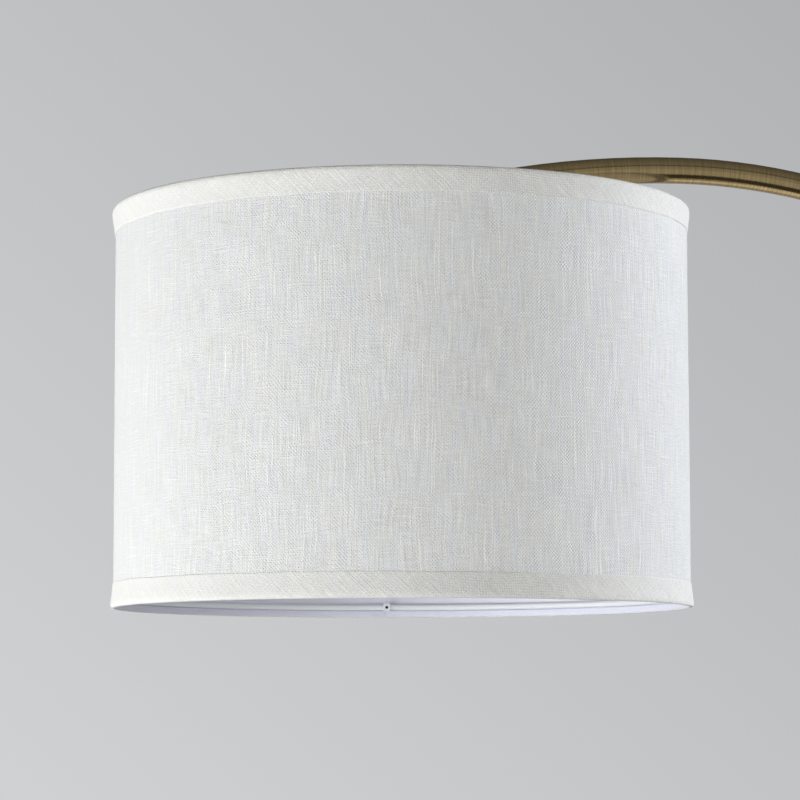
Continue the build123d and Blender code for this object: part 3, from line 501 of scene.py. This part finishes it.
# Styrene film: smooth satin white with a lilac cast, painted in for the cool light inside the drum, faint
# ripples of about 50 mm from the roll, and a grey line at its seam. It glows faintly: painted light for the
# daylight that comes through it and the linen, fading towards the lower rim.
film, tree = new_material("white_styrene_film")
place = add(tree, "TexCoord").outputs["Object"]
off_axis = add(tree, "VectorMath", {"operation": "SUBTRACT"}, {0: place, 1: (shade_x, 0, 0)})
beside = add(tree, "VectorMath", {"operation": "DOT_PRODUCT"}, {0: off_axis, 1: seam_side})
outward = add(tree, "VectorMath", {"operation": "DOT_PRODUCT"}, {0: off_axis, 1: seam_way})
near = add(tree, "Math", {"operation": "ABSOLUTE"}, {0: beside.outputs["Value"]})
line = add(tree, "MapRange", {}, {
    "Value": near, "From Min": 0.0003, "From Max": 0.0009, "To Min": 1.0, "To Max": 0.0,
})
behind = add(tree, "Math", {"operation": "GREATER_THAN"}, {0: outward.outputs["Value"], 1: 0.0})
seam = add(tree, "Math", {"operation": "MULTIPLY"}, {0: line, 1: behind})
ripple = add(tree, "TexNoise", {}, {"Vector": place, "Scale": 1 / 0.05, "Detail": 2.0})
white = add(tree, "Mix", {"data_type": "RGBA"}, {0: ripple, 6: linear("#DFDFEA"), 7: linear("#E6E6EF")})
tint = add(tree, "Mix", {"data_type": "RGBA"}, {0: seam, 6: white.outputs[2], 7: linear("#D9D9E4")})
satin = add(tree, "MapRange", {}, {"Value": ripple, "To Min": 0.35, "To Max": 0.5})
rolled = add(tree, "Bump", {}, {"Height": ripple, "Strength": 0.1, "Distance": 0.001})
glow_starts, glow_full = shade_low.z + 0.04, shade_high.z - 0.05
heights = add(tree, "SeparateXYZ", {}, {0: place})
# The film emits light here: a painted glow, strongest near the upper rim.
painted_glow = add(tree, "MapRange", {"interpolation_type": "SMOOTHSTEP"}, {
    "Value": heights.outputs["Z"], "From Min": glow_starts, "From Max": glow_full,
    "To Min": 0.0, "To Max": 0.2,
})
styrene = add(tree, "BsdfPrincipled", {}, {
    "Base Color": tint.outputs[2], "Roughness": satin, "IOR": 1.59, "Normal": rolled,
    "Emission Color": linear("#FFFCF4"), "Emission Strength": painted_glow,
})
add(tree, "OutputMaterial", {}, {"Surface": styrene})
paint_with(film, "shade_lining")


# Shade cover: one length of white slub linen, laminated round the film and lapped over itself at the back
# seam. The warp runs upright; its thick slubs stand out as long pale streaks.
linen_radius = (shade_high.x - shade_low.x) / 2
linen_thickness = 0.0008
linen_clearance = 0.0001  # kept inside the space that the cover has in the frame
linen_sway = 0.0001
sways_across, sways_up = 14, 20  # sways to a radius, and to a metre of height
lap = 0.010
lap_angle = lap / linen_radius
climb_angle = 0.6 * lap_angle  # before the lap, the cloth climbs on its first end over this angle
linen_steps = 720
linen_rows = 24
linen_loops, linen_marks = [], []
for step in range(linen_steps + 1):
    turned = step / linen_steps * (2 * math.pi + lap_angle)
    bearing = seam_bearing - lap_angle / 2 + turned
    way_x, way_y = math.cos(bearing), math.sin(bearing)
    climb = min(1.0, max(0.0, (turned - 2 * math.pi + climb_angle) / climb_angle))
    lift = linen_thickness * climb * climb * (3 - 2 * climb)
    outer, inner, outer_marks, inner_marks = [], [], [], []
    for row in range(linen_rows + 1):
        height = shade_low.z + (shade_high.z - shade_low.z) * row / linen_rows
        sway = linen_sway * noise.noise((sways_across * way_x, sways_across * way_y, sways_up * height))
        outside = linen_radius - linen_clearance + lift + sway
        inside = linen_radius - linen_thickness + linen_clearance + lift
        outer.append((shade_x + outside * way_x, outside * way_y, height))
        inner.append((shade_x + inside * way_x, inside * way_y, height))
        outer_marks.append((turned * linen_radius, height))
        inner_marks.append((turned * linen_radius, 2 * shade_high.z - height))
    linen_loops.append(outer + inner[::-1])
    linen_marks.append(outer_marks + inner_marks[::-1] + [inner_marks[0]])
linen_cover = loft("linen_cover", linen_loops, linen_marks)


def slub_linen(name, cool, warm, slub, bias, weave_share, warp_run, flat_place, shaded_open_place):
    """Plain-woven linen: matt, white to cream by the thread, with slubs along both threads.

    Bias turns the weave, and weave_share says how far its crossings stand out. Warp_run is one of the runs
    below. A place is a length along the cloth and its reach on both sides, in metres. At flat_place the
    threads lie flat, with this tone. At shaded_open_place the weave's gaps get painted shade, of this depth
    and darkening.
    """
    made, tree = new_material(name)
    in_plane = {"noise_dimensions": "2D"}
    cloth = add(tree, "UVMap", {"uv_map": "cloth"})
    flat = add(tree, "Mapping", {}, {"Vector": cloth, "Rotation": (0, 0, bias), "Scale": (1000, 1000, 1000)})
    # From here on in millimetres, x across the warp and y along it. The threads wander a little, in bends of
    # about 45 mm.
    wander = (6, 6, 0)
    bends = add(tree, "TexNoise", in_plane, {"Vector": flat, "Scale": 1 / 45, "Detail": 3.0})
    threads = add(tree, "VectorMath", {"operation": "MULTIPLY_ADD"}, {0: bends.outputs[1], 1: wander, 2: flat})
    # Slubs: thick places 1 mm wide and up to 60 mm long in the warp, shorter and fewer in the weft. The last
    # two values say how thick the yarn has to be.
    slubs = []
    for wide, long, from_thick, to_thick in ((0.9, 60, 0.59, 0.73), (26, 0.9, 0.6, 0.75)):
        run = add(tree, "VectorMath", {"operation": "MULTIPLY"}, {0: threads, 1: (1 / wide, 1 / long, 0)})
        yarn = add(tree, "TexNoise", in_plane, {"Vector": run, "Scale": 1.0, "Detail": 1.0})
        slubs.append(add(tree, "MapRange", {"interpolation_type": "SMOOTHSTEP"}, {
            "Value": yarn, "From Min": from_thick, "From Max": to_thick,
        }))
    warp_slub, weft_slub = slubs
    # The weave: a warp thread each 1.12 mm, a weft thread each 1.24 mm. Their crossings make a checkerboard,
    # which leans one way as the yarn is twisted, and is tighter in some places than in others. No two
    # crossings are equally firm.
    warp_gap, weft_gap = 1.12, 1.24
    xy = add(tree, "SeparateXYZ", {}, {0: threads})
    across = add(tree, "Math", {"operation": "MULTIPLY"}, {0: xy.outputs["X"], 1: math.pi / warp_gap})
    along = add(tree, "Math", {"operation": "MULTIPLY"}, {0: xy.outputs["Y"], 1: math.pi / weft_gap})
    falling = add(tree, "Math", {"operation": "ADD"}, {0: across, 1: along})
    rising = add(tree, "Math", {"operation": "SUBTRACT"}, {0: across, 1: along})
    falling_wave = add(tree, "Math", {"operation": "COSINE"}, {0: falling})
    rising_wave = add(tree, "Math", {"operation": "COSINE"}, {0: rising})
    lean = add(tree, "Math", {"operation": "MULTIPLY_ADD"}, {0: rising_wave, 1: 0.3, 2: falling_wave})
    crossing = add(tree, "VectorMath", {"operation": "SNAP"}, {0: threads, 1: (warp_gap, weft_gap, 1)})
    uneven = add(tree, "TexWhiteNoise", in_plane, {"Vector": crossing}).outputs["Value"]
    tightness = add(tree, "TexNoise", in_plane, {"Vector": threads, "Scale": 1 / 9, "Detail": 1.0})
    tight = add(tree, "MapRange", {}, {
        "Value": tightness, "From Min": 0.3, "From Max": 0.7, "To Min": 0.5, "To Max": 1.5,
    })
    firm = add(tree, "Math", {"operation": "MULTIPLY"}, {0: tight, 1: uneven})
    weave = add(tree, "Math", {"operation": "MULTIPLY"}, {0: lean, 1: firm})
    # Thread by thread and fibre by fibre, each is uneven in its thickness and, apart from that, in its shade.
    # A run is the width and length of such a stretch and how far it stands out, in millimetres, and its share
    # of the shade.
    runs = (warp_run, (16, 0.9, 0.15, 0.14), (0.7, 0.95, 0.36, 0.36))
    height, tone = 0.0, 1 - sum(run[3] for run in runs) / 2
    for wide, long, thick, pale in runs:
        run = add(tree, "VectorMath", {"operation": "MULTIPLY"}, {0: threads, 1: (1 / wide, 1 / long, 0)})
        relief = add(tree, "TexNoise", in_plane, {"Vector": run, "Scale": 1.0, "Detail": 1.0})
        height = add(tree, "Math", {"operation": "MULTIPLY_ADD"}, {0: relief, 1: thick, 2: height})
        elsewhere = add(tree, "VectorMath", {"operation": "ADD"}, {0: run, 1: (470, 290, 0)})
        shade = add(tree, "TexNoise", in_plane, {"Vector": elsewhere, "Scale": 1.0, "Detail": 1.0})
        tone = add(tree, "Math", {"operation": "MULTIPLY_ADD"}, {0: shade, 1: pale, 2: tone})
    for source, thick in ((weave, 0.115 * weave_share), (warp_slub, 0.26), (weft_slub, 0.15)):
        height = add(tree, "Math", {"operation": "MULTIPLY_ADD"}, {0: source, 1: thick, 2: height})
    # The cloth isn't even along its length. At one place its threads lie flat, and at another painted shade
    # marks the gaps of the weave.
    flat_at, flat_reach, flat_tone = flat_place
    shaded_open_at, shaded_open_reach, painted_gap_depth, painted_gap_darkening = shaded_open_place
    flat_relief = 0.3  # of the relief elsewhere
    length = add(tree, "SeparateXYZ", {}, {0: cloth}).outputs["X"]
    shares = []
    for at, reach, inside, outside in (
        (flat_at, flat_reach, flat_relief, 1.0),
        (shaded_open_at, shaded_open_reach, painted_gap_depth, 0.0),
    ):
        beside = add(tree, "Math", {"operation": "SUBTRACT"}, {0: length, 1: at})
        away = add(tree, "Math", {"operation": "ABSOLUTE"}, {0: beside})
        shares.append(add(tree, "MapRange", {"interpolation_type": "SMOOTHSTEP"}, {
            "Value": away, "From Min": 0.0, "From Max": reach, "To Min": inside, "To Max": outside,
        }))
    relief_share, painted_gap_share = shares
    # Painted shade in the weave's gaps: the tone follows the checkerboard of the crossings, less the
    # darkening.
    square = add(tree, "Math", {"operation": "ADD"}, {0: rising_wave, 1: falling_wave})
    painted_gap_shade = add(tree, "Math", {"operation": "MULTIPLY_ADD"}, {0: square, 1: firm, 2: -painted_gap_darkening})
    tone = add(tree, "Mix", {}, {0: relief_share, 2: flat_tone, 3: tone})
    tone = add(tree, "Math", {"operation": "MULTIPLY_ADD"}, {0: painted_gap_shade, 1: painted_gap_share, 2: tone})
    raised = add(tree, "Bump", {}, {"Height": height, "Strength": relief_share, "Distance": 0.001})
    # Colour: cool and warm threads in streaks of about 7 by 30 mm, and paler slubs.
    streak = add(tree, "VectorMath", {"operation": "MULTIPLY"}, {0: threads, 1: (1 / 7, 1 / 30, 0)})
    streaks = add(tree, "TexNoise", in_plane, {"Vector": streak, "Scale": 1.0, "Detail": 3.0})
    warmth = add(tree, "MapRange", {}, {"Value": streaks, "From Min": 0.3, "From Max": 0.7})
    ground = add(tree, "Mix", {"data_type": "RGBA"}, {0: warmth, 6: linear(cool), 7: linear(warm)})
    fainter = add(tree, "Math", {"operation": "MULTIPLY"}, {0: weft_slub, 1: 0.6})
    thickest = add(tree, "Math", {"operation": "MAXIMUM"}, {0: warp_slub, 1: fainter})
    flax = add(tree, "Mix", {"data_type": "RGBA"}, {0: thickest, 6: ground.outputs[2], 7: linear(slub)})
    toned = add(tree, "VectorMath", {"operation": "SCALE"}, {0: flax.outputs[2], "Scale": tone})
    linen = add(tree, "BsdfPrincipled", {}, {
        "Base Color": toned, "Roughness": 0.9, "Specular IOR Level": 0.2, "Normal": raised,
    })
    add(tree, "OutputMaterial", {}, {"Surface": linen})
    return made


# At its open place painted shade marks the weave's gaps.
cover_linen = slub_linen(
    "white_slub_linen", "#E6E7E9", "#E8E8E5", "#F5F6F3", bias=0.0, weave_share=1.0,
    warp_run=(1.0, 28, 0.42, 0.26), flat_place=(0.36, 0.16, 0.89), shaded_open_place=(0.74, 0.115, 0.21, 0.0),
)
linen_cover.data.materials.append(cover_linen)
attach(linen_cover, "head")
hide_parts("shade_fabric")


# Trims: two tapes of the same linen, cut on the bias in a creamier white, folded over the edges of the drum
# and glued. Each stands out most beside the rim, and goes 5 mm down the inside.
# A tape's section, in millimetres: out from the linen's face, and in from the edge of the drum.
trim_outside = [
    (0.02, 17.0), (0.20, 17.05), (0.38, 16.85), (0.48, 16.3), (0.58, 15.0), (0.78, 13.0), (1.08, 10.5),
    (1.45, 8.0), (1.82, 5.5), (2.05, 3.8),
]
trim_edge = [
    (2.08, 2.7), (1.88, 1.5), (1.42, 0.65), (0.70, 0.12), (-0.50, 0.0), (-1.40, 0.12), (-2.05, 0.6),
    (-2.38, 1.4),
]
trim_turned_in = [(-2.46, 3.0), (-2.46, 4.6), (-2.36, 5.3), (-2.05, 5.5), (-1.62, 5.4)]
trim_glued_face = [(-1.60, 3.0), (-1.58, 1.0), (-0.80, 0.97), (0.0, 0.97), (0.02, 3.0), (0.02, 10.0)]
trim_section = trim_outside + trim_edge + trim_turned_in + trim_glued_face
trim_lap = 0.012
trim_steps = 720
hem_depth = 0.0019  # the turned-in part is further in from the linen's face than this
# Folded by hand, they are wider on one side, and vary all round in their width and in how far they stand out.
trim_wide_side = math.radians(170)
wider, width_varies, fold_varies = 0.03, 0.02, 0.08
glued_under = 0.1  # millimetres from the linen's face, where a tape is held and doesn't vary
even_under = 6  # millimetres from the edge of the drum, where its width doesn't vary
# At their open place painted shade darkens the weave's gaps.
bias_linen = slub_linen(
    "bias_cut_linen", "#E9E9E7", "#EBEAE5", "#F3F2EE", bias=math.radians(-45), weave_share=0.4,
    warp_run=(1.0, 14, 0.3, 0.2), flat_place=(0.36, 0.26, 0.96), shaded_open_place=(0.70, 0.12, 0.12, 0.67),
)
# The turned-in part: the same linen drawn smooth, in a darker lilac grey that paints the shade and the cool
# light inside the drum, with a faint grain of about 3 mm.
shaded_hem_linen = grained("hem_linen_painted_shade", 0.003, {"Detail": 2.0}, ("#D5D7E4", "#DFE0EB"), {"Roughness": 0.6},
                    bump=(0.3, 0.0001))
# Inward is the way from the edge to the middle of the drum. Bulge says how far the fold stands out, and uneven
# how much further on the wide side.
for name, node, edge, inward, bulge, uneven in (
    ("top_tape", "top_trim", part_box("top_trim")[1].z, -1, 1.0, 0.12),
    ("bottom_tape", "bottom_trim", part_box("bottom_trim")[0].z, 1, 0.85, 0.0),
):
    section = trim_section if inward < 0 else trim_section[::-1]
    closing = math.dist(section[-1], section[0]) / 1000
    loops, marks = [], []
    for step in range(trim_steps + 1):
        turned = step / trim_steps * (2 * math.pi + trim_lap / linen_radius)
        bearing = seam_bearing + turned
        way_x, way_y = math.cos(bearing), math.sin(bearing)
        to_wide_side = math.cos(bearing - trim_wide_side)
        wide = 1 + wider * to_wide_side + width_varies * noise.noise((9 * way_x, 9 * way_y, edge))
        loop, mark, gone = [], [], 0.0
        for k, (out, depth) in enumerate(section):
            ripple = noise.noise((16 * way_x, 16 * way_y, depth / 6 + edge))
            ease = 1 + fold_varies * ripple + uneven * to_wide_side
            reach = linen_radius + (out * bulge * ease if out > glued_under else out) / 1000
            height = edge + inward * (depth * wide if depth > even_under else depth) / 1000
            loop.append((shade_x + reach * way_x, reach * way_y, height))
            if k:
                gone += math.dist(section[k - 1], (out, depth)) / 1000
            mark.append((turned * linen_radius, gone))
        loops.append(loop)
        marks.append(mark + [(turned * linen_radius, gone + closing)])
    tape = loft(name, loops, marks)
    tape.data.materials.append(bias_linen)
    tape.data.materials.append(shaded_hem_linen)
    # Faces inside the drum take the darker copy, which is painted shade.
    for face in tape.data.polygons:
        face_radius = math.hypot(face.center.x - shade_x, face.center.y)
        face.material_index = int(face_radius < linen_radius - hem_depth)
    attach(tape, "head")
    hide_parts(node)
